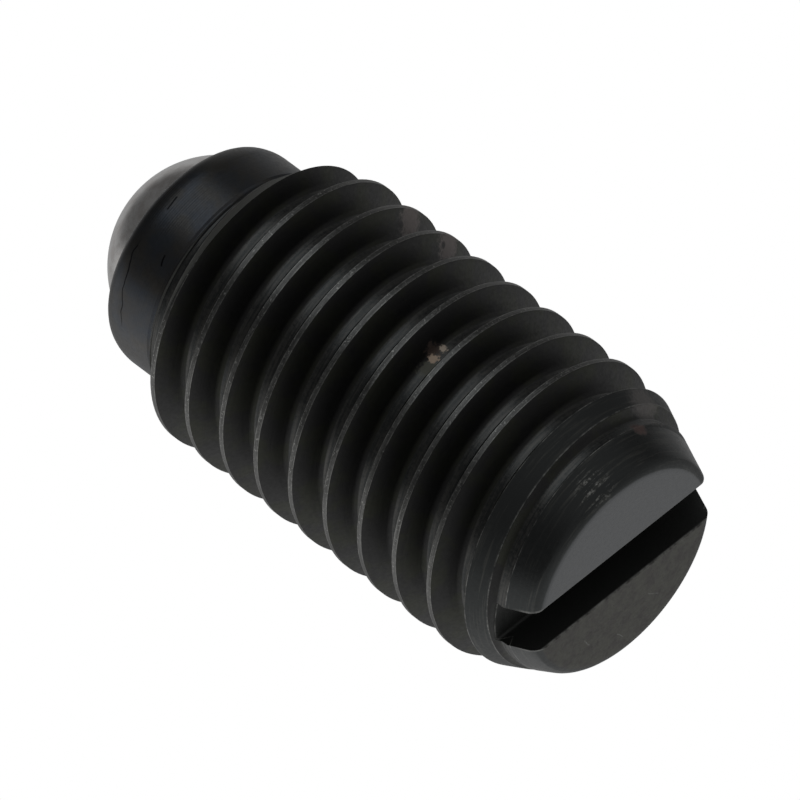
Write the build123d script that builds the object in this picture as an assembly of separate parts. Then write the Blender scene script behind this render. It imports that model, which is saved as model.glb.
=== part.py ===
"""Ball spring plunger, M12 x 1.75, slotted for a flat screwdriver.

A turned and threaded steel sleeve holds a compression spring and a hardened ball, and the
sleeve's nose is rolled inward over the ball to keep it captive. The plunger stands on its
slotted face: that face is z = 0, the axis is Z, and the slot runs along X.
"""
from build123d import *
import math
import os

# Thread: ISO metric coarse, right-hand, cut over the sleeve's whole shank
thread_size = 12.0           # nominal diameter
pitch = 1.75
crest_allowance = 0.125      # how far the crests stay inside the nominal radius
groove_angle = -77.8         # degrees about Z at which the groove's middle crosses z = 0
groove_clearance = 0.1       # how far the groove's cutter reaches out past the crests
turning_clearance = 0.3      # how far the turned outside stands clear of the crests

# Sleeve, outside
body_length = 22.0
face_diameter = 9.1          # slotted face, to its sharp edge
face_chamfer = 0.15          # breaks that edge
lead_in_length = 3.25        # slim cone that starts the thread at the slotted end
nose_length = 2.72           # plain nose beyond the thread
nose_chamfer_angle = 45.0    # degrees from the axis, where the shank steps down to the nose
nose_wall = 0.53             # wall left round the bore at the nose
roll_length = 1.0            # end of the nose that is rolled inward over the ball
lip_width = 0.1              # flat left between the rolled outside and the ball's opening

# Screwdriver slot
slot_width = 2.0
slot_depth = 1.5

# Ball, and the bore that it runs in
ball_diameter = 8.0
ball_stroke = 2.5            # the ball stands this far out and can be pushed flush
ball_clearance = 0.05        # round the ball, in the bore and under the rolled lip
bore_wall_start = 7.4        # height where the drill's point ends and the bore's wall starts
drill_point_angle = 118.0    # degrees across the drill's point

# Compression spring, with a closed turn at each end
wire_diameter = 1.0
wire_sides = 6               # flats that stand for the wire's round section
coil_diameter = 6.0          # to the middle of the wire
active_turns = 3.5
closed_turn_gap = 0.06       # between the wires of a closed turn
spring_clearance = 0.03      # between the wire and what it bears on

# Worked out from the sizes above; the fractions of the pitch and of the sharp 60 degree
# triangle's height are those of the ISO metric thread, for its flat root
thread_height = pitch * math.sqrt(3) / 2
crest_radius = thread_size / 2 - crest_allowance
root_radius = thread_size / 2 - thread_height * 17 / 24
root_width = pitch / 4
flank_tangent = math.tan(math.radians(30))
ball_radius = ball_diameter / 2
ball_height = body_length + ball_stroke - ball_radius
bore_radius = ball_radius + ball_clearance
lip_opening = math.sqrt(bore_radius**2 - (body_length - ball_height)**2)
nose_radius = bore_radius + nose_wall
shoulder_height = body_length - nose_length
drill_point_slope = 1 / math.tan(math.radians(drill_point_angle / 2))


def turned_outside():
    """All that the lathe cut, with its nose rolled; over the thread it stands clear of the crests."""
    wide = crest_radius + turning_clearance
    lead_in_slope = (crest_radius - face_diameter / 2) / lead_in_length
    step_slope = math.tan(math.radians(nose_chamfer_angle))
    face_corner = (face_diameter / 2, 0)
    roll_start = (nose_radius, body_length - roll_length)
    lip_corner = (lip_opening + lip_width, body_length)
    straights = Polyline(
        lip_corner,
        (0, body_length),
        (0, 0),
        face_corner,
        (wide, lead_in_length + turning_clearance / lead_in_slope),
        (wide, shoulder_height - (wide - nose_radius) / step_slope),
        (nose_radius, shoulder_height),
        roll_start,
    )
    rolled = TangentArc(roll_start, lip_corner, tangent=(0, 1))
    half = make_face(straights + rolled)
    half = chamfer(half.vertices().sort_by_distance(face_corner)[0], face_chamfer)
    return revolve(Plane.XZ * half, Axis.Z)


def bore():
    """The drilled hole, closed over the ball's upper half by the rolled lip."""
    lip_edge = (lip_opening, body_length)
    ball_equator = (bore_radius, ball_height)
    straights = Polyline(
        ball_equator,
        (bore_radius, bore_wall_start),
        (0, bore_wall_start - bore_radius * drill_point_slope),
        (0, body_length),
        lip_edge,
    )
    lip = TangentArc(ball_equator, lip_edge, tangent=(0, 1))
    return revolve(Plane.XZ * make_face(straights + lip), Axis.Z)


def thread_groove():
    """The helical V between the crests, from the air below the face to the foot of the nose."""
    clear_radius = crest_radius + groove_clearance
    clear_half_width = root_width / 2 + (clear_radius - root_radius) * flank_tangent
    section = make_face(Polyline(
        (root_radius, root_width / 2),
        (root_radius, -root_width / 2),
        (clear_radius, -clear_half_width),
        (clear_radius, clear_half_width),
        close=True,
    ))
    path = Helix(pitch, pitch + shoulder_height, root_radius)
    groove = sweep(Plane.XZ * section, path=path, is_frenet=True)
    return Pos(0, 0, -pitch) * Rot(0, 0, groove_angle) * groove


def threaded_rod():
    """A rod as thick as the crests, a little longer than the sleeve, with the groove cut in it."""
    spare = pitch / 4
    rod = Cylinder(
        crest_radius, body_length + 2 * spare, align=(Align.CENTER, Align.CENTER, Align.MIN))
    return Pos(0, 0, -spare) * rod - thread_groove()


def slot():
    """The straight cut across the foot that a screwdriver turns the plunger by."""
    return Box(thread_size, slot_width, slot_depth, align=(Align.CENTER, Align.CENTER, Align.MIN))


def body():
    """The threaded sleeve: one turned piece. The groove is cut in the shank only, not in the nose."""
    turned = turned_outside()
    foot_of_nose = Plane.XY.offset(shoulder_height)
    shank = split(turned, bisect_by=foot_of_nose, keep=Keep.BOTTOM)
    nose = split(turned, bisect_by=foot_of_nose, keep=Keep.TOP)
    return (shank & threaded_rod()) + nose - bore() - slot()


def spring():
    """The coil spring, from the bore's conical floor to the underside of the ball."""
    coil_radius = coil_diameter / 2
    reach = wire_diameter / 2 + spring_clearance
    floor_under_wire = bore_wall_start - (bore_radius - coil_radius) * drill_point_slope
    first_wire = floor_under_wire + reach * math.hypot(1, drill_point_slope)
    last_wire = ball_height - math.sqrt((ball_radius + reach)**2 - coil_radius**2)
    closed_pitch = wire_diameter + closed_turn_gap
    active_pitch = (last_wire - first_wire - 2 * closed_pitch) / active_turns
    path = []
    height, turned = first_wire, 0
    for turn_pitch, turns in ((closed_pitch, 1), (active_pitch, active_turns), (closed_pitch, 1)):
        run = Helix(turn_pitch, turn_pitch * turns, coil_radius)
        path += (Pos(0, 0, height) * Rot(0, 0, 360 * turned) * run).edges()
        height += turn_pitch * turns
        turned += turns
    wire = Wire(path)
    section = Plane(wire @ 0, z_dir=wire % 0) * RegularPolygon(wire_diameter / 2, wire_sides)
    return sweep(section, path=wire, is_frenet=True)


def ball():
    """The hardened ball, standing out of the nose at rest."""
    return Pos(0, 0, ball_height) * Sphere(ball_radius)


os.makedirs("parts", exist_ok=True)
for name, shape in (("body", body()), ("spring", spring()), ("ball", ball())):
    export_step(shape, f"parts/{name}.step")
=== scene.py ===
import bpy
import math
from mathutils import Matrix, Vector


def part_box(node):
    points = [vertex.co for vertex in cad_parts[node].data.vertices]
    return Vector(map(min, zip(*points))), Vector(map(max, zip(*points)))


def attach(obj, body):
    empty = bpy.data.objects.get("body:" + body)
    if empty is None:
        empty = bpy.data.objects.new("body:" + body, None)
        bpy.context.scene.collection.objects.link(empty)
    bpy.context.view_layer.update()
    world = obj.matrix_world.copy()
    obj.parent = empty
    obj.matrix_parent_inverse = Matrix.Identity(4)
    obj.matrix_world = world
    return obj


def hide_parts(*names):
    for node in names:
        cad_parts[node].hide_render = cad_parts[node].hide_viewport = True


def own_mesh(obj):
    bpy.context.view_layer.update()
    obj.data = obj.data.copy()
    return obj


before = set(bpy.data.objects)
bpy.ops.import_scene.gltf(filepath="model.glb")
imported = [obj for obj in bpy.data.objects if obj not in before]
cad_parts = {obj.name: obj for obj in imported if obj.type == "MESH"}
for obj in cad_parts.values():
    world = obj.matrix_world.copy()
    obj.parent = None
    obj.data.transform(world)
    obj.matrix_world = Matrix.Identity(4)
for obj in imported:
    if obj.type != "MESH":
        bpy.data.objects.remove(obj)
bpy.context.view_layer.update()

mm = 0.001
turn = math.tau
ballLow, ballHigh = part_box("ball")
ballRadius = (ballHigh.z - ballLow.z) / 2
ballCentre = (ballLow + ballHigh) / 2
springLow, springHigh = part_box("spring")


def deselectAll():
    if bpy.context.object and bpy.context.object.mode != "OBJECT":
        bpy.ops.object.mode_set(mode="OBJECT")
    bpy.ops.object.select_all(action="DESELECT")


def pick(*objects):
    deselectAll()
    for one in objects:
        one.select_set(True)
    bpy.context.view_layer.objects.active = objects[0]


def applyAll(obj):
    pick(obj)
    for modifier in list(obj.modifiers):
        bpy.ops.object.modifier_apply(modifier=modifier.name)


def settle(obj):
    # the piece's place goes into its mesh, so its object sits at the origin
    pick(obj)
    bpy.ops.object.transform_apply(location=True, rotation=True, scale=True)


def editAll(kind="VERT"):
    # the active piece, open for editing with all of it selected
    bpy.ops.object.mode_set(mode="EDIT")
    bpy.ops.mesh.select_mode(type=kind)
    bpy.ops.mesh.select_all(action="SELECT")


def rounded(corners, steps=5):
    # an outline through corners (x, y, round) in mm, with an arc of its own radius at each
    outline = []
    for i, (x, y, radius) in enumerate(corners):
        here = Vector((x, y))
        if radius == 0:
            outline.append(here)
            continue
        back = (Vector(corners[i - 1][:2]) - here).normalized()
        ahead = (Vector(corners[i + 1][:2]) - here).normalized()
        half = back.angle(ahead) / 2
        reach = radius / math.tan(half)
        centre = here + (back + ahead).normalized() * radius / math.sin(half)
        for k in range(steps + 1):
            arm = (here + back * reach - centre).lerp(here + ahead * reach - centre, k / steps)
            outline.append(centre + arm.normalized() * radius)
    return outline


def divided(outline, longest):
    # the same outline with points added where two stand further apart than longest
    found = [outline[0]]
    for a, b in zip(outline, outline[1:]):
        parts = max(1, math.ceil((b - a).length / longest))
        found += [a.lerp(b, k / parts) for k in range(1, parts + 1)]
    return found


def turnedSolid(name, outline, sides, centreAt=lambda height: (0, 0)):
    # a disc drawn up ring by ring, as on a lathe; the outline runs upwards as (radius, height) in mm
    radius, height = outline[0]
    x, y = centreAt(height)
    deselectAll()
    bpy.ops.mesh.primitive_circle_add(
        vertices=sides, radius=radius * mm, fill_type="NGON", location=(x * mm, y * mm, height * mm))
    obj = bpy.context.object
    obj.name = name
    settle(obj)
    editAll()
    for nextRadius, nextHeight in outline[1:]:
        nextX, nextY = centreAt(nextHeight)
        bpy.ops.mesh.extrude_region_move(TRANSFORM_OT_translate={
            "value": ((nextX - x) * mm, (nextY - y) * mm, (nextHeight - height) * mm)})
        grow = nextRadius / radius
        bpy.ops.transform.resize(
            value=(grow, grow, 1), center_override=(nextX * mm, nextY * mm, nextHeight * mm))
        radius, height, x, y = nextRadius, nextHeight, nextX, nextY
    bpy.ops.mesh.select_all(action="SELECT")
    bpy.ops.mesh.normals_make_consistent(inside=False)
    bpy.ops.object.mode_set(mode="OBJECT")
    return obj


def combine(obj, other, operation):
    boolean = obj.modifiers.new(operation.title(), "BOOLEAN")
    boolean.operation = operation
    boolean.solver = "EXACT"
    boolean.object = other
    applyAll(obj)
    bpy.data.objects.remove(other)


sleeve = {
    "pitch": 1.75,
    "crestRadius": 5.84,
    "rootRadius": 4.9,
    "crestHeight": 1.246,         # the crest's middle where it crosses the X axis, plus whole pitches
    "crestRound": 0.015,
    "rootRounds": (0.04, 0.3),    # the cutter's two corners, on the nose side of a crest and below the next
    "clear": 0.35,                # the turned outside stands this far off the crests
    "faceCorner": 4.38,           # radius at which the face and the lead-in cone would meet
    "faceRound": 0.62,
    "leadInSlope": 0.44,
    # how far the turned outside stands off the thread's axis, from the face up to the nose: height, x, y
    "runOut": ((0, 0.0, 0.10), (1.5, -0.05, 0.10), (5, -0.06, 0.09), (17, -0.078, -0.043),
               (30, -0.078, -0.043)),
    "length": 22.0,
    "shoulder": 19.29,
    "noseRadius": 4.542,
    "undercut": 0.05,             # depth of the fine groove at the nose's foot
    "undercutMouth": 0.08,        # how much wider it starts
    "undercutRises": (-0.03, 0.04, 0.08, 0.16),   # its start, floor and end, above the shoulder
    "rollStart": 21.12,
    "rollRound": 1.5,
    "lipCorner": 4.24,
    "lipRound": 0.85,
    "boreRadius": 4.05,
    "boreFloor": 7.4,
    "drillPoint": 118.0,
    "slotWidth": 1.96,
    "slotDepth": 1.5,
    "slotOffset": -0.06,
    "slotEdgeRound": 0.08,
    "slotFloorRound": 0.12,
    "middle": 0.4,                # radius of the small disc that each flat end is drawn out from
    "drillTip": 0.05,
    "stepsPerTurn": 120,          # of the thread
    "turnedSides": 192,
    "boreSides": 160,
    "smoothUpTo": 28.0,           # degrees between faces
}


def flankSlope():
    return math.tan(math.radians(30))


def crestHalf():
    # half the width of the flat on top of the thread
    depth = sleeve["crestRadius"] - sleeve["rootRadius"]
    return sleeve["pitch"] * 3 / 8 - depth * flankSlope()


def threadOutline():
    # one pitch upwards, from crest middle to crest middle, as (radius, height)
    s = sleeve
    rootHalf = s["pitch"] / 8
    rootMiddle = s["pitch"] / 2
    low, high = s["rootRounds"]
    corners = [
        (s["crestRadius"], 0, 0),
        (s["crestRadius"], crestHalf(), s["crestRound"]),
        (s["rootRadius"], rootMiddle - rootHalf, low),
        (s["rootRadius"], rootMiddle + rootHalf, high),
        (s["crestRadius"], s["pitch"] - crestHalf(), s["crestRound"]),
        (s["crestRadius"], s["pitch"], 0),
    ]
    return divided(rounded(corners, 4), 0.25)


def threadedRod():
    s = sleeve
    outline = threadOutline()
    turnsBelow, turnsDrawn = 3, 17
    deselectAll()
    bpy.ops.mesh.primitive_plane_add(size=mm, location=(0, 0, 0))
    rod = bpy.context.object
    rod.name = "Sleeve"
    editAll()
    bpy.ops.mesh.merge(type="CENTER")
    start = s["crestHeight"] - turnsBelow * s["pitch"]
    bpy.ops.transform.translate(value=(outline[0].x * mm, 0, (start + outline[0].y) * mm))
    for a, b in zip(outline, outline[1:]):
        bpy.ops.mesh.extrude_region_move(
            TRANSFORM_OT_translate={"value": ((b.x - a.x) * mm, 0, (b.y - a.y) * mm)})
    bpy.ops.object.mode_set(mode="OBJECT")
    screw = rod.modifiers.new("Thread", "SCREW")
    screw.axis = "Z"
    screw.screw_offset = s["pitch"] * mm
    screw.iterations = turnsDrawn
    screw.steps = screw.render_steps = s["stepsPerTurn"]
    applyAll(rod)
    editAll()
    bpy.ops.mesh.remove_doubles(threshold=0.001 * mm)
    # each open end is drawn in to a point on the axis
    for end in (-1, 1):
        bpy.ops.mesh.select_all(action="DESELECT")
        bpy.ops.mesh.select_mode(type="EDGE")
        bpy.ops.mesh.select_non_manifold(
            extend=False, use_wire=False, use_boundary=True, use_multi_face=False,
            use_non_contiguous=False, use_verts=False)
        bpy.ops.object.mode_set(mode="OBJECT")
        middle = s["length"] / 2 * mm
        kept = [e for e in rod.data.edges if e.select
                and (rod.data.vertices[e.vertices[0]].co.z - middle) * end > 0]
        for group in (rod.data.vertices, rod.data.edges):
            group.foreach_set("select", [False] * len(group))
        for edge in kept:
            edge.select = True
            for v in edge.vertices:
                rod.data.vertices[v].select = True
        bpy.ops.object.mode_set(mode="EDIT")
        bpy.ops.mesh.extrude_edges_move()
        bpy.context.scene.cursor.location = (0, 0, middle + end * middle * 1.4)
        bpy.ops.mesh.merge(type="CURSOR")
    bpy.ops.mesh.select_all(action="SELECT")
    bpy.ops.mesh.normals_make_consistent(inside=False)
    bpy.ops.object.mode_set(mode="OBJECT")
    return rod


def turnedCentre(height):
    for (z0, x0, y0), (z1, x1, y1) in zip(sleeve["runOut"], sleeve["runOut"][1:]):
        if height <= z1:
            t = (height - z0) / (z1 - z0)
            return x0 + (x1 - x0) * t, y0 + (y1 - y0) * t


def turnedOutside():
    # everything the lathe cut: face, lead-in cone, shank, step, nose and its rolled lip
    s = sleeve
    wide = s["crestRadius"] + s["clear"]
    low = s["noseRadius"] - s["undercut"]
    start, floorStart, floorEnd, end = (s["shoulder"] + rise for rise in s["undercutRises"])
    corners = [
        (s["middle"], 0, 0),
        (s["faceCorner"], 0, s["faceRound"]),
        (wide, (wide - s["faceCorner"]) / s["leadInSlope"], 0),
        (wide, s["shoulder"] - (wide - s["noseRadius"]), 0),
        (low + s["undercutMouth"], start, 0),
        (low, floorStart, 0),
        (low, floorEnd, 0),
        (s["noseRadius"], end, 0),
        (s["noseRadius"], s["rollStart"], s["rollRound"]),
        (s["lipCorner"], s["length"], s["lipRound"]),
        (s["middle"], s["length"], 0),
    ]
    outline = divided(rounded(corners, 8), 0.8)
    return turnedSolid("turnedOutside", outline, s["turnedSides"], turnedCentre)


def boreTool():
    # the drilled hole, closed in over the ball by the rolled lip
    s = sleeve
    pointRise = (s["boreRadius"] - s["drillTip"]) / math.tan(math.radians(s["drillPoint"] / 2))
    centre = ballCentre.z / mm
    corners = [(s["drillTip"], s["boreFloor"] - pointRise, 0), (s["boreRadius"], s["boreFloor"], 0)]
    outline = divided(rounded(corners), 4)
    pastEnd, clearAbove, lipSteps = 0.4, 4, 12     # the arc runs on beyond the nose, then the tool goes up
    lipTop = math.degrees(math.asin((s["length"] + pastEnd - centre) / s["boreRadius"]))
    for k in range(lipSteps + 1):
        a = math.radians(lipTop * k / lipSteps)
        outline.append(Vector((s["boreRadius"] * math.cos(a), centre + s["boreRadius"] * math.sin(a))))
    outline.append(Vector((outline[-1].x, s["length"] + clearAbove)))
    return turnedSolid("boreTool", outline, s["boreSides"])


def slotTool():
    # a bar across the face, its mouth flared by a small round so that the slot's edges come out broken
    s = sleeve
    half, depth, edge = s["slotWidth"] / 2, s["slotDepth"], s["slotEdgeRound"]
    reach, below = 8, 0.6         # past the sleeve on either side, and below the face
    side = [(half + 2 * edge, -below, 0), (half + 2 * edge, -0.6 * edge, 0), (half, 0.6 * edge, edge),
            (half, depth, s["slotFloorRound"])]
    outline = rounded(side + [(-y, z, r) for y, z, r in reversed(side)])
    deselectAll()
    bpy.ops.mesh.primitive_plane_add(size=mm, location=(0, 0, 0))
    tool = bpy.context.object
    tool.name = "slotTool"
    editAll()
    bpy.ops.mesh.merge(type="CENTER")
    bpy.ops.transform.translate(
        value=(-reach * mm, (outline[0].x + s["slotOffset"]) * mm, outline[0].y * mm))
    for a, b in zip(outline, outline[1:]):
        bpy.ops.mesh.extrude_region_move(
            TRANSFORM_OT_translate={"value": (0, (b.x - a.x) * mm, (b.y - a.y) * mm)})
    bpy.ops.mesh.select_all(action="SELECT")
    bpy.ops.mesh.edge_face_add()
    bpy.ops.mesh.extrude_region_move(TRANSFORM_OT_translate={"value": (2 * reach * mm, 0, 0)})
    bpy.ops.mesh.select_all(action="SELECT")
    bpy.ops.mesh.normals_make_consistent(inside=False)
    bpy.ops.object.mode_set(mode="OBJECT")
    return tool


def buildSleeve():
    body = threadedRod()
    combine(body, turnedOutside(), "INTERSECT")
    combine(body, boreTool(), "DIFFERENCE")
    combine(body, slotTool(), "DIFFERENCE")
    pick(body)
    bpy.ops.object.shade_smooth_by_angle(angle=math.radians(sleeve["smoothUpTo"]))
    return body


coil = {
    "wire": 1.0,
    "radius": 3.0,
    "closedPitch": 1.06,
    "activeTurns": 3.5,
    "sectionSides": 20,
    "stepsPerTurn": 48,
    "keep": 0.766,             # share of its height left when the ball is pressed flush
}


def coilRun(turns, rise, startHeight, startTurns):
    c = coil
    deselectAll()
    bpy.ops.mesh.primitive_circle_add(
        vertices=c["sectionSides"], radius=c["wire"] / 2 * mm, fill_type="NOTHING",
        location=(c["radius"] * mm, 0, 0), rotation=(math.pi / 2, 0, 0))
    run = bpy.context.object
    settle(run)
    screw = run.modifiers.new("Coil", "SCREW")
    screw.axis = "Z"
    screw.angle = turn * turns
    screw.screw_offset = rise * turns * mm
    screw.iterations = 1
    screw.steps = screw.render_steps = round(c["stepsPerTurn"] * turns)
    applyAll(run)
    run.location = (0, 0, startHeight * mm)
    run.rotation_euler = (0, 0, turn * startTurns)
    settle(run)
    return run


def buildSpring():
    c = coil
    low = springLow.z / mm + c["wire"] / 2
    high = springHigh.z / mm - c["wire"] / 2
    activePitch = (high - low - 2 * c["closedPitch"]) / c["activeTurns"]
    runs, height, turned = [], low, 0
    for turns, pitch in ((1, c["closedPitch"]), (c["activeTurns"], activePitch), (1, c["closedPitch"])):
        runs.append(coilRun(turns, pitch, height, turned))
        height += turns * pitch
        turned += turns
    pick(*runs)
    bpy.ops.object.join()
    spring = bpy.context.object
    spring.name = "Spring"
    editAll()
    bpy.ops.mesh.remove_doubles(threshold=0.02 * mm)
    bpy.ops.mesh.select_all(action="DESELECT")
    bpy.ops.mesh.select_mode(type="EDGE")
    bpy.ops.mesh.select_non_manifold(
        extend=False, use_wire=False, use_boundary=True, use_multi_face=False,
        use_non_contiguous=False, use_verts=False)
    bpy.ops.mesh.edge_face_add()
    bpy.ops.mesh.select_all(action="SELECT")
    bpy.ops.mesh.normals_make_consistent(inside=False)
    bpy.ops.object.mode_set(mode="OBJECT")
    bpy.ops.object.shade_smooth_by_angle(angle=math.radians(50))
    return spring


def buildBall():
    deselectAll()
    bpy.ops.mesh.primitive_cube_add(size=2 * ballRadius, location=ballCentre)
    ball = bpy.context.object
    ball.name = "Ball"
    settle(ball)
    editAll()
    bpy.ops.mesh.subdivide(number_cuts=35)
    bpy.ops.object.mode_set(mode="OBJECT")
    for v in ball.data.vertices:
        v.co = ballCentre + (v.co - ballCentre).normalized() * ballRadius
    pick(ball)
    bpy.ops.object.shade_smooth()
    return ball


def feed(tree, socket, value):
    if isinstance(value, bpy.types.NodeSocket):
        tree.links.new(value, socket)
    else:
        socket.default_value = value


def calc(tree, operation, *values):
    node = tree.nodes.new("ShaderNodeMath")
    node.operation = operation
    for socket, value in zip(node.inputs, values):
        feed(tree, socket, value)
    return node.outputs[0]


def spread(tree, value, low, high, toLow=0.0, toHigh=1.0):
    # eases from toLow to toHigh while value runs from low to high
    node = tree.nodes.new("ShaderNodeMapRange")
    node.interpolation_type = "SMOOTHSTEP"
    for name, entry in (("Value", value), ("From Min", low), ("From Max", high),
                        ("To Min", toLow), ("To Max", toHigh)):
        feed(tree, node.inputs[name], entry)
    return node.outputs["Result"]


def noise(tree, vector, scale, detail, roughness):
    node = tree.nodes.new("ShaderNodeTexNoise")
    for name, entry in (("Vector", vector), ("Scale", scale), ("Detail", detail),
                        ("Roughness", roughness)):
        feed(tree, node.inputs[name], entry)
    return node.outputs["Fac"]


def tint(tree, share, first, second):
    node = tree.nodes.new("ShaderNodeMix")
    node.data_type = "RGBA"
    feed(tree, node.inputs["Factor"], share)
    for socket, value in zip(node.inputs[6:8], (first, second)):
        feed(tree, socket, value)
    return node.outputs[2]


def bump(tree, shader, height, depth):
    # height runs from 0 to 1 and stands for depth in mm
    node = tree.nodes.new("ShaderNodeBump")
    node.inputs["Strength"].default_value = 1.0
    node.inputs["Distance"].default_value = depth * mm
    feed(tree, node.inputs["Height"], height)
    tree.links.new(node.outputs["Normal"], shader.inputs["Normal"])


def newMaterial(name):
    material = bpy.data.materials.new(name)
    material.use_nodes = True
    return material, material.node_tree, material.node_tree.nodes["Principled BSDF"]


def placeInMm(tree):
    # the surface point in mm, and its x, y and z
    coordinates = tree.nodes.new("ShaderNodeTexCoord")
    scaled = tree.nodes.new("ShaderNodeVectorMath")
    scaled.operation = "SCALE"
    scaled.inputs["Scale"].default_value = 1 / mm
    tree.links.new(coordinates.outputs["Object"], scaled.inputs[0])
    split = tree.nodes.new("ShaderNodeSeparateXYZ")
    tree.links.new(scaled.outputs[0], split.inputs[0])
    return scaled.outputs[0], split.outputs[0], split.outputs[1], split.outputs[2]


def joined(tree, x, y, z):
    node = tree.nodes.new("ShaderNodeCombineXYZ")
    for socket, value in zip(node.inputs, (x, y, z)):
        feed(tree, socket, value)
    return node.outputs[0]


def both(tree, *shares):
    # the product of several shares
    result = shares[0]
    for share in shares[1:]:
        result = calc(tree, "MULTIPLY", result, share)
    return result


def stroke(tree, along, across, mark, wander):
    # a thin straight mark on a surface laid out flat: its middle, heading, length and width in mm
    (u, v), heading, length, width = mark
    turned = math.radians(heading)
    du = calc(tree, "SUBTRACT", along, u)
    dv = calc(tree, "SUBTRACT", across, v)
    run = calc(tree, "ADD", both(tree, du, math.cos(turned)), both(tree, dv, math.sin(turned)))
    off = calc(tree, "SUBTRACT", both(tree, dv, math.cos(turned)), both(tree, du, math.sin(turned)))
    off = calc(tree, "ADD", off, wander)
    return both(tree, spread(tree, calc(tree, "ABSOLUTE", run), length / 2, length * 0.4),
                spread(tree, calc(tree, "ABSOLUTE", off), width / 2, width / 5))


def distanceTo(tree, place, point):
    node = tree.nodes.new("ShaderNodeVectorMath")
    node.operation = "DISTANCE"
    tree.links.new(place, node.inputs[0])
    node.inputs[1].default_value = point
    return node.outputs["Value"]


oxide = {
    # how much each of the sleeve's surfaces reflects, head on
    "flank": (0.026, 0.026, 0.026, 1),
    "flankOlive": (0.029, 0.030, 0.025, 1),
    "crest": (0.056, 0.056, 0.054, 1),
    "crestWorn": (0.100, 0.100, 0.097, 1),
    # painted sheen: the thread's root floor is given a brighter colour than the flanks, standing in for its
    # reflection of the softbox
    "root": (0.062, 0.061, 0.058, 1),
    # painted highlight: this bright colour is laid along the edges of the crests and turned surfaces and
    # along the slot's edges; it also colours the scuffed lead-in
    "edge": (0.22, 0.22, 0.21, 1),
    "cone": (0.034, 0.036, 0.036, 1),
    "coneWorn": (0.054, 0.055, 0.052, 1),
    "step": (0.068, 0.068, 0.060, 1),
    "nose": (0.037, 0.041, 0.048, 1),
    "noseWarm": (0.046, 0.044, 0.041, 1),
    "upperFace": (0.058, 0.060, 0.062, 1),
    "lowerFace": (0.036, 0.034, 0.032, 1),
    "lowerFaceWorn": (0.046, 0.046, 0.040, 1),
    "slot": (0.014, 0.015, 0.014, 1),
    "scratch": (0.008, 0.008, 0.009, 1),
    "flankRoughness": 0.50,
    "crestRoughness": 0.38,
    "rootRoughness": 0.32,
    "noseRoughness": 0.34,
    "upperFaceRoughness": 0.30,
    "lowerFaceRoughness": 0.48,
    "linePitch": 0.095,                # the lathe's marks round the nose
    "lineMiddle": (-1.36, -4.33, 20.76),
    "scuffMiddle": (-0.7, -4.75, 0.35),
    "coneEnd": (3.4, 3.2),             # heights between which the cone gives way to the crests
    "stepStart": (17.9, 18.0),         # and the crests to the step
}
wear = {
    # bare, rubbed or rusted spots: middle in mm, size, how ragged, how strong, colour
    "moss": ((-0.95, -4.81, 8.50), 0.42, 0.5, 0.6, (0.085, 0.085, 0.060, 1)),
    "rust": ((-0.35, -4.90, 9.00), 0.40, 0.5, 0.8, (0.045, 0.026, 0.018, 1)),
    "tan": ((-0.53, -4.87, 8.70), 0.22, 0.7, 1.0, (0.42, 0.32, 0.24, 1)),
    "tanToo": ((0.02, -4.90, 8.72), 0.17, 0.7, 1.0, (0.42, 0.35, 0.28, 1)),
    "pink": ((4.40, -3.40, 13.00), 0.80, 0.3, 0.6, (0.150, 0.125, 0.118, 1)),
    "pit": ((4.10, -3.66, 13.00), 0.16, 0.3, 1.0, (0.012, 0.010, 0.010, 1)),
    "pinkToo": ((4.15, -3.55, 14.72), 0.80, 0.3, 0.6, (0.150, 0.125, 0.118, 1)),
    "pitToo": ((3.58, -3.92, 14.62), 0.18, 0.3, 1.0, (0.012, 0.010, 0.010, 1)),
    "bruise": ((2.55, -4.28, 1.50), 0.36, 0.3, 0.8, (0.055, 0.026, 0.021, 1)),
    "rubbed": ((4.0, -4.1, 2.2), 1.1, 0.15, 0.5, (0.115, 0.103, 0.098, 1)),
    "burr": ((-5.02, -2.30, 0.75), 0.26, 0.5, 0.9, (0.22, 0.215, 0.175, 1)),
    "burrEnd": ((-4.75, -1.75, 0.45), 0.20, 0.5, 0.8, (0.20, 0.20, 0.165, 1)),
}
strokes = {
    # middle, heading in degrees, length and width
    "nose": (((-12.10, 20.95), 7.0, 3.6, 0.08), ((-8.64, 21.01), 2.0, 0.65, 0.09),
             ((-10.46, 19.89), 4.0, 0.45, 0.09)),
    "face": (((-1.98, 2.43), 62.0, 0.55, 0.07), ((1.3, 2.6), 40.0, 0.7, 0.05),
             ((-0.4, 3.4), 55.0, 0.5, 0.05)),
}


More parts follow.
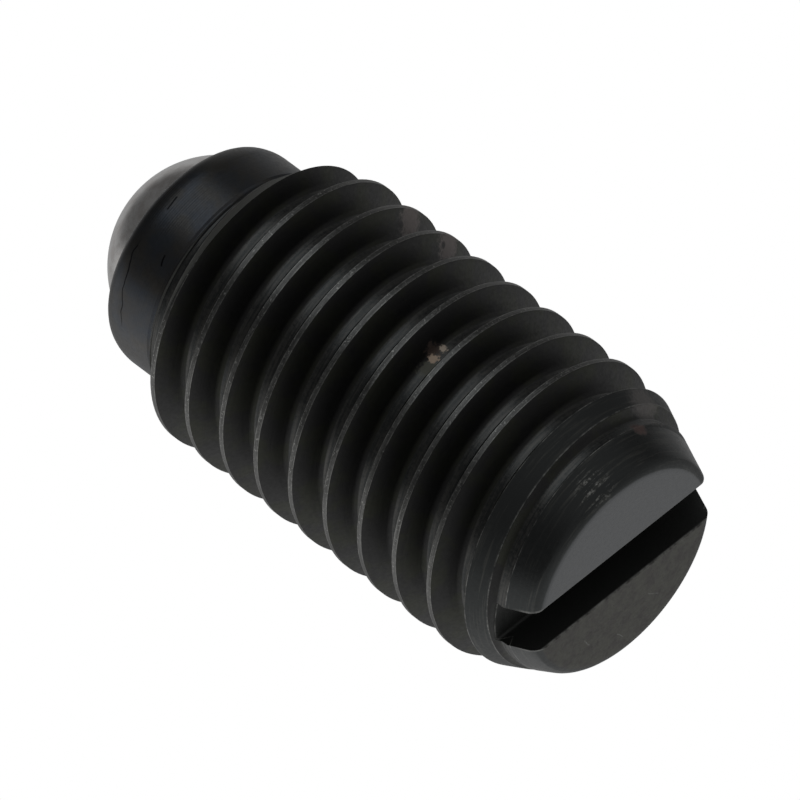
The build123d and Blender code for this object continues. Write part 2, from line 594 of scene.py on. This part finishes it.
def blackOxide():
    o, s = oxide, sleeve
    material, tree, shader = newMaterial("Black oxide on turned steel")
    shader.inputs["Metallic"].default_value = 1
    place, x, y, z = placeInMm(tree)
    radius = calc(tree, "SQRT", calc(tree, "ADD", both(tree, x, x), both(tree, y, y)))
    angle = calc(tree, "ARCTAN2", y, x)
    climbed = both(tree, angle, s["pitch"] / turn)
    unwound = calc(tree, "SUBTRACT", calc(tree, "SUBTRACT", z, s["crestHeight"]), climbed)
    fromCrest = calc(tree, "WRAP", unwound, s["pitch"] / 2, -s["pitch"] / 2)
    # nought on the thread's flanks, and on the turned surfaces the distance from their edges
    room = calc(tree, "ADD", both(tree, calc(tree, "SUBTRACT", s["crestRadius"], radius), flankSlope()),
                crestHalf())
    inside = calc(tree, "SUBTRACT", room, calc(tree, "ABSOLUTE", fromCrest))

    onNose = spread(tree, z, s["shoulder"] - 0.03, s["shoulder"] + 0.02)
    offNose = calc(tree, "SUBTRACT", 1.0, onNose)
    turned = both(tree, spread(tree, inside, 0.004, 0.02), offNose)
    # a thin band along the edges of the turned surfaces, where the painted highlight is laid
    edge = both(tree, turned, spread(tree, inside, 0.06, 0.015))
    onRoot = both(tree, spread(tree, radius, s["rootRadius"] + 0.03, s["rootRadius"] + 0.005), offNose,
                  spread(tree, radius, s["boreRadius"] + 0.3, s["boreRadius"] + 0.4))
    high = spread(tree, radius, s["crestRadius"] - 0.06, s["crestRadius"] - 0.02)
    onCrest = both(tree, turned, high)
    onCone = both(tree, turned, calc(tree, "SUBTRACT", 1.0, high), spread(tree, z, *o["coneEnd"]))
    onStep = both(tree, turned, calc(tree, "SUBTRACT", 1.0, high), spread(tree, z, *o["stepStart"]))
    onFace = spread(tree, z, 0.05, 0.01)
    upper = spread(tree, y, 0.2, -0.2)
    fromSlot = calc(tree, "ABSOLUTE", calc(tree, "SUBTRACT", y, s["slotOffset"]))
    inSlot = both(tree, spread(tree, fromSlot, s["slotWidth"] / 2 + 0.03, s["slotWidth"] / 2 + 0.01),
                  spread(tree, z, s["slotDepth"] + 0.1, s["slotDepth"] + 0.05))
    # a band along both edges of the slot, near the face, where a painted highlight is laid
    slotEdgeHighlight = both(tree, spread(tree, fromSlot, s["slotWidth"] / 2 + 0.12, s["slotWidth"] / 2 + 0.04),
                    spread(tree, fromSlot, s["slotWidth"] / 2, s["slotWidth"] / 2 + 0.02),
                    spread(tree, z, 0.9, 0.5))

    # the cutter's marks run round the work: fine across it, long along it
    level = calc(tree, "ADD", both(tree, fromCrest, offNose), both(tree, z, onNose))
    across = joined(tree, both(tree, radius, 9.0), 0.0, both(tree, level, 9.0))
    drift = tree.nodes.new("ShaderNodeVectorMath")
    drift.operation = "MULTIPLY_ADD"
    tree.links.new(place, drift.inputs[0])
    drift.inputs[1].default_value = (0.4, 0.4, 0.4)
    tree.links.new(across, drift.inputs[2])
    streaks = noise(tree, drift.outputs[0], 1.0, 5.0, 0.65)
    grain = noise(tree, place, 7.0, 4.0, 0.7)
    cloud = noise(tree, place, 0.8, 3.0, 0.6)
    specks = noise(tree, place, 11.0, 2.0, 0.6)
    drag = noise(tree, place, 2.0, 3.0, 0.6)

    colour = tint(tree, spread(tree, cloud, 0.42, 0.62), o["flank"], o["flankOlive"])
    worn = spread(tree, calc(tree, "ADD", both(tree, streaks, 0.6), both(tree, grain, 0.4)), 0.42, 0.60)
    # the root floor: wear streaks run between the cone's colour and the brighter colour of its painted sheen
    colour = tint(tree, onRoot, colour, tint(tree, worn, o["cone"], o["root"]))
    coneColour = tint(tree, spread(tree, streaks, 0.5, 0.68), o["cone"], o["coneWorn"])
    colour = tint(tree, onCone, colour, coneColour)
    scuffed = both(tree, spread(tree, distanceTo(tree, place, o["scuffMiddle"]), 1.1, 0.3), onCone,
                   spread(tree, streaks, 0.50, 0.60), spread(tree, grain, 0.45, 0.60))
    colour = tint(tree, scuffed, colour, o["edge"])
    colour = tint(tree, onStep, colour, tint(tree, both(tree, worn, 0.5), o["step"], o["coneWorn"]))
    colour = tint(tree, onCrest, colour, tint(tree, worn, o["crest"], o["crestWorn"]))
    noseColour = tint(tree, spread(tree, cloud, 0.3, 0.7), o["nose"], o["noseWarm"])
    colour = tint(tree, onNose, colour, noseColour)
    lowerFace = tint(tree, spread(tree, drag, 0.35, 0.6), o["lowerFace"], o["lowerFaceWorn"])
    lowerFace = tint(tree, spread(tree, specks, 0.66, 0.72), lowerFace, o["slot"])
    colour = tint(tree, onFace, colour, tint(tree, upper, lowerFace, o["upperFace"]))
    colour = tint(tree, inSlot, colour, o["slot"])
    # painted highlights along the crests' and the slot's edges, together with the crests' worn specks, all
    # in the bright edge colour
    edgeHighlightsAndSpecks = both(tree, edge, spread(tree, drag, 0.30, 0.70), spread(tree, grain, 0.25, 0.6))
    edgeHighlightsAndSpecks = calc(tree, "MAXIMUM", edgeHighlightsAndSpecks, both(tree, onCrest, spread(tree, specks, 0.60, 0.70)))
    edgeHighlightsAndSpecks = calc(tree, "MAXIMUM", edgeHighlightsAndSpecks, both(tree, slotEdgeHighlight, spread(tree, drag, 0.3, 0.7), 0.6))
    colour = tint(tree, edgeHighlightsAndSpecks, colour, o["edge"])

    # the lathe's fine lines, clearest on the side of the nose
    near = spread(tree, distanceTo(tree, place, o["lineMiddle"]), 1.5, 0.6)
    near = both(tree, near, spread(tree, drag, 0.3, 0.55))
    wave = calc(tree, "SINE", both(tree, z, turn / o["linePitch"]))
    lines = both(tree, wave, calc(tree, "ADD", both(tree, near, 0.24), 0.03), onNose)
    lines = both(tree, lines, spread(tree, streaks, 0.35, 0.6))
    scale = tree.nodes.new("ShaderNodeVectorMath")
    scale.operation = "SCALE"
    tree.links.new(colour, scale.inputs[0])
    tree.links.new(calc(tree, "ADD", lines, 1.0), scale.inputs["Scale"])
    colour = scale.outputs[0]

    wander = both(tree, calc(tree, "SUBTRACT", noise(tree, place, 1.1, 1.5, 0.5), 0.5), 0.5)
    unrolled = both(tree, angle, s["noseRadius"])
    for mark in strokes["nose"]:
        share = both(tree, stroke(tree, unrolled, z, mark, wander), onNose)
        colour = tint(tree, share, colour, o["scratch"])
    for mark in strokes["face"]:
        share = both(tree, stroke(tree, x, y, mark, both(tree, wander, 0.4)), onFace,
                     spread(tree, grain, 0.3, 0.6))
        colour = tint(tree, share, colour, o["crestWorn"])

    # bare and rusted spots have no metal's shine
    dull = calc(tree, "MAXIMUM", both(tree, onStep, 0.6), both(tree, inSlot, 0.5))
    for centre, size, ragged, strong, spotColour in wear.values():
        shake = both(tree, calc(tree, "SUBTRACT", grain, 0.5), 4 * ragged * size)
        reached = calc(tree, "ADD", distanceTo(tree, place, centre), shake)
        share = spread(tree, reached, size * 1.1, size * 0.5, 0.0, strong)
        colour = tint(tree, share, colour, spotColour)
        dull = calc(tree, "MAXIMUM", dull, share)
    tree.links.new(colour, shader.inputs["Base Color"])
    tree.links.new(calc(tree, "SUBTRACT", 1.0, dull), shader.inputs["Metallic"])

    rough = o["flankRoughness"]
    faceRough = spread(tree, upper, 0.0, 1.0, o["lowerFaceRoughness"], o["upperFaceRoughness"])
    for share, value in ((onRoot, o["rootRoughness"]), (onCrest, o["crestRoughness"]),
                         (onNose, o["noseRoughness"]), (onFace, faceRough), (dull, 0.7)):
        rough = spread(tree, share, 0.0, 1.0, rough, value)
    rough = calc(tree, "ADD", rough, spread(tree, grain, 0.3, 0.7, -0.05, 0.05))
    tree.links.new(rough, shader.inputs["Roughness"])

    relief = calc(tree, "ADD", both(tree, streaks, 0.6), both(tree, grain, 0.4))
    bump(tree, shader, calc(tree, "ADD", relief, both(tree, lines, 0.5)), 0.008)
    return material


def polishedSteel():
    material, tree, shader = newMaterial("Hardened and polished steel")
    place = placeInMm(tree)[0]
    polish = noise(tree, place, 1.6, 6.0, 0.7)
    shader.inputs["Metallic"].default_value = 1
    colour = tint(tree, spread(tree, polish, 0.35, 0.62), (0.62, 0.59, 0.57, 1), (0.80, 0.79, 0.78, 1))
    tree.links.new(colour, shader.inputs["Base Color"])
    tree.links.new(spread(tree, polish, 0.3, 0.7, 0.10, 0.16), shader.inputs["Roughness"])
    bump(tree, shader, polish, 0.0006)
    return material


def springWire():
    material, tree, shader = newMaterial("Drawn spring wire")
    place = placeInMm(tree)[0]
    drawn = noise(tree, place, 14.0, 4.0, 0.7)
    shader.inputs["Metallic"].default_value = 1
    colour = tint(tree, drawn, (0.26, 0.25, 0.24, 1), (0.42, 0.41, 0.40, 1))
    tree.links.new(colour, shader.inputs["Base Color"])
    tree.links.new(spread(tree, drawn, 0.3, 0.7, 0.26, 0.40), shader.inputs["Roughness"])
    bump(tree, shader, drawn, 0.004)
    return material


def dress(obj, material, body, node):
    obj.data.materials.clear()
    obj.data.materials.append(material)
    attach(obj, body)
    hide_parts(node)


studio = {
    "room": 0.17,
    "table": 1.05,
    "tableNormal": (0.0715, -0.9974, 0.0),
    "tableEdge": (0.1, -0.3),
    # patches of the surroundings: direction, level, angles at which each is full and gone
    "patches": (
        ((0.558, 0.5735, 0.6), 0.33, 30, 75),       # the table in the sleeve's own shade
        ((-0.010, -0.2236, 0.975), 0.10, 15, 50),   # the room beyond the ball
        ((0.304, -0.686, -0.66), 0.45, 20, 62),     # a pale wall below the slotted end
    ),
    "softboxDirection": (0.0626, -0.873, 0.485),
    "softboxDistance": 0.6,
    "softboxSize": (0.46, 0.46),
    "softboxLevel": 0.9,
    "softboxColour": (0.93, 0.97, 1.0),
}


def buildWorld():
    world = bpy.data.worlds.new("Studio")
    bpy.context.scene.world = world
    world.use_nodes = True
    tree = world.node_tree
    tree.nodes.clear()
    direction = tree.nodes.new("ShaderNodeTexCoord").outputs["Generated"]

    def along(axis):
        node = tree.nodes.new("ShaderNodeVectorMath")
        node.operation = "DOT_PRODUCT"
        tree.links.new(direction, node.inputs[0])
        node.inputs[1].default_value = Vector(axis).normalized()
        return node.outputs["Value"]

    level = spread(tree, along(studio["tableNormal"]), *studio["tableEdge"], studio["room"], studio["table"])
    for axis, patchLevel, full, gone in studio["patches"]:
        share = spread(tree, along(axis), math.cos(math.radians(gone)), math.cos(math.radians(full)))
        level = spread(tree, share, 0.0, 1.0, level, patchLevel)
    room = tree.nodes.new("ShaderNodeBackground")
    tree.links.new(level, room.inputs["Color"])
    white = tree.nodes.new("ShaderNodeBackground")
    white.inputs["Color"].default_value = (1, 1, 1, 1)
    mix = tree.nodes.new("ShaderNodeMixShader")
    tree.links.new(tree.nodes.new("ShaderNodeLightPath").outputs["Is Camera Ray"], mix.inputs["Fac"])
    tree.links.new(room.outputs["Background"], mix.inputs[1])
    tree.links.new(white.outputs["Background"], mix.inputs[2])
    tree.links.new(mix.outputs["Shader"], tree.nodes.new("ShaderNodeOutputWorld").inputs["Surface"])


def buildSoftbox():
    wide, tall = studio["softboxSize"]
    lamp = bpy.data.lights.new("Softbox", "AREA")
    lamp.shape = "RECTANGLE"
    lamp.size, lamp.size_y = wide, tall
    lamp.energy = studio["softboxLevel"] * math.pi * wide * tall
    lamp.color = studio["softboxColour"]
    obj = bpy.data.objects.new("Softbox", lamp)
    bpy.context.scene.collection.objects.link(obj)
    away = Vector(studio["softboxDirection"]).normalized()
    obj.location = Vector((0, 0, 0.011)) + away * studio["softboxDistance"]
    obj.rotation_euler = away.to_track_quat("Z", "Y").to_euler()
    obj.visible_camera = False


def buildFloor():
    deselectAll()
    bpy.ops.mesh.primitive_plane_add(size=3, location=(0, 0, -0.02 * mm))
    floor = bpy.context.object
    floor.name = "Floor"
    material, tree, shader = newMaterial("Pale floor")
    shader.inputs["Base Color"].default_value = (0.8, 0.8, 0.8, 1)
    shader.inputs["Roughness"].default_value = 0.9
    shader.inputs["Specular IOR Level"].default_value = 0
    shader.inputs["Emission Color"].default_value = (1, 1, 1, 1)
    shader.inputs["Emission Strength"].default_value = 0.5
    # seen from below the floor isn't there, so the camera looks up through it
    clear = tree.nodes.new("ShaderNodeBsdfTransparent")
    mix = tree.nodes.new("ShaderNodeMixShader")
    tree.links.new(tree.nodes.new("ShaderNodeNewGeometry").outputs["Backfacing"], mix.inputs["Fac"])
    tree.links.new(shader.outputs["BSDF"], mix.inputs[1])
    tree.links.new(clear.outputs["BSDF"], mix.inputs[2])
    tree.links.new(mix.outputs["Shader"], tree.nodes["Material Output"].inputs["Surface"])
    floor.data.materials.append(material)
    floor.visible_glossy = False
    floor.visible_diffuse = False
    floor.visible_transmission = False
    floor.visible_shadow = False


view = {
    "lens": 1144.5,
    "distance": 904.0,
    "below": 29.2,             # degrees that the camera looks up by
    "roll": 36.65,
    "around": -119.2,          # degrees about the thread's axis
    "axisPoint": 11.308,       # height on the axis near the picture's middle
    "shift": (0.018, 0.025),   # from there to the picture's middle, right and up
}


def buildCamera():
    v = view
    below, roll = math.radians(v["below"]), math.radians(v["roll"])
    spin = Matrix.Rotation(math.radians(v["around"]), 3, "Z")
    towards = spin @ Vector((math.cos(below), 0, -math.sin(below)))
    along = spin @ Vector((-math.sin(below), 0, -math.cos(below)))
    side = spin @ Vector((0, 1, 0))
    right = along * math.cos(roll) + side * math.sin(roll)
    up = -along * math.sin(roll) + side * math.cos(roll)
    aim = Vector((0, 0, v["axisPoint"])) + right * v["shift"][0] + up * v["shift"][1]
    data = bpy.data.cameras.new("Camera")
    data.sensor_width = 36
    data.lens = v["lens"]
    camera = bpy.data.objects.new("Camera", data)
    bpy.context.scene.collection.objects.link(camera)
    turned = Matrix((right, up, towards)).transposed().to_4x4()
    turned.translation = (aim + towards * v["distance"]) * mm
    camera.matrix_world = turned
    bpy.context.scene.camera = camera


bpy.context.scene.view_settings.view_transform = "Standard"
buildCamera()
buildWorld()
buildSoftbox()
buildFloor()
print("camera, light and floor placed")

sleevePiece = buildSleeve()
dress(sleevePiece, blackOxide(), "sleeve", "body")
print("sleeve:", len(sleevePiece.data.polygons), "faces")

ballPiece = buildBall()
dress(ballPiece, polishedSteel(), "ball", "ball")
print("ball:", len(ballPiece.data.polygons), "faces")

springPiece = buildSpring()
dress(springPiece, springWire(), "sleeve", "spring")
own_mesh(springPiece)
print("spring:", len(springPiece.data.polygons), "faces")
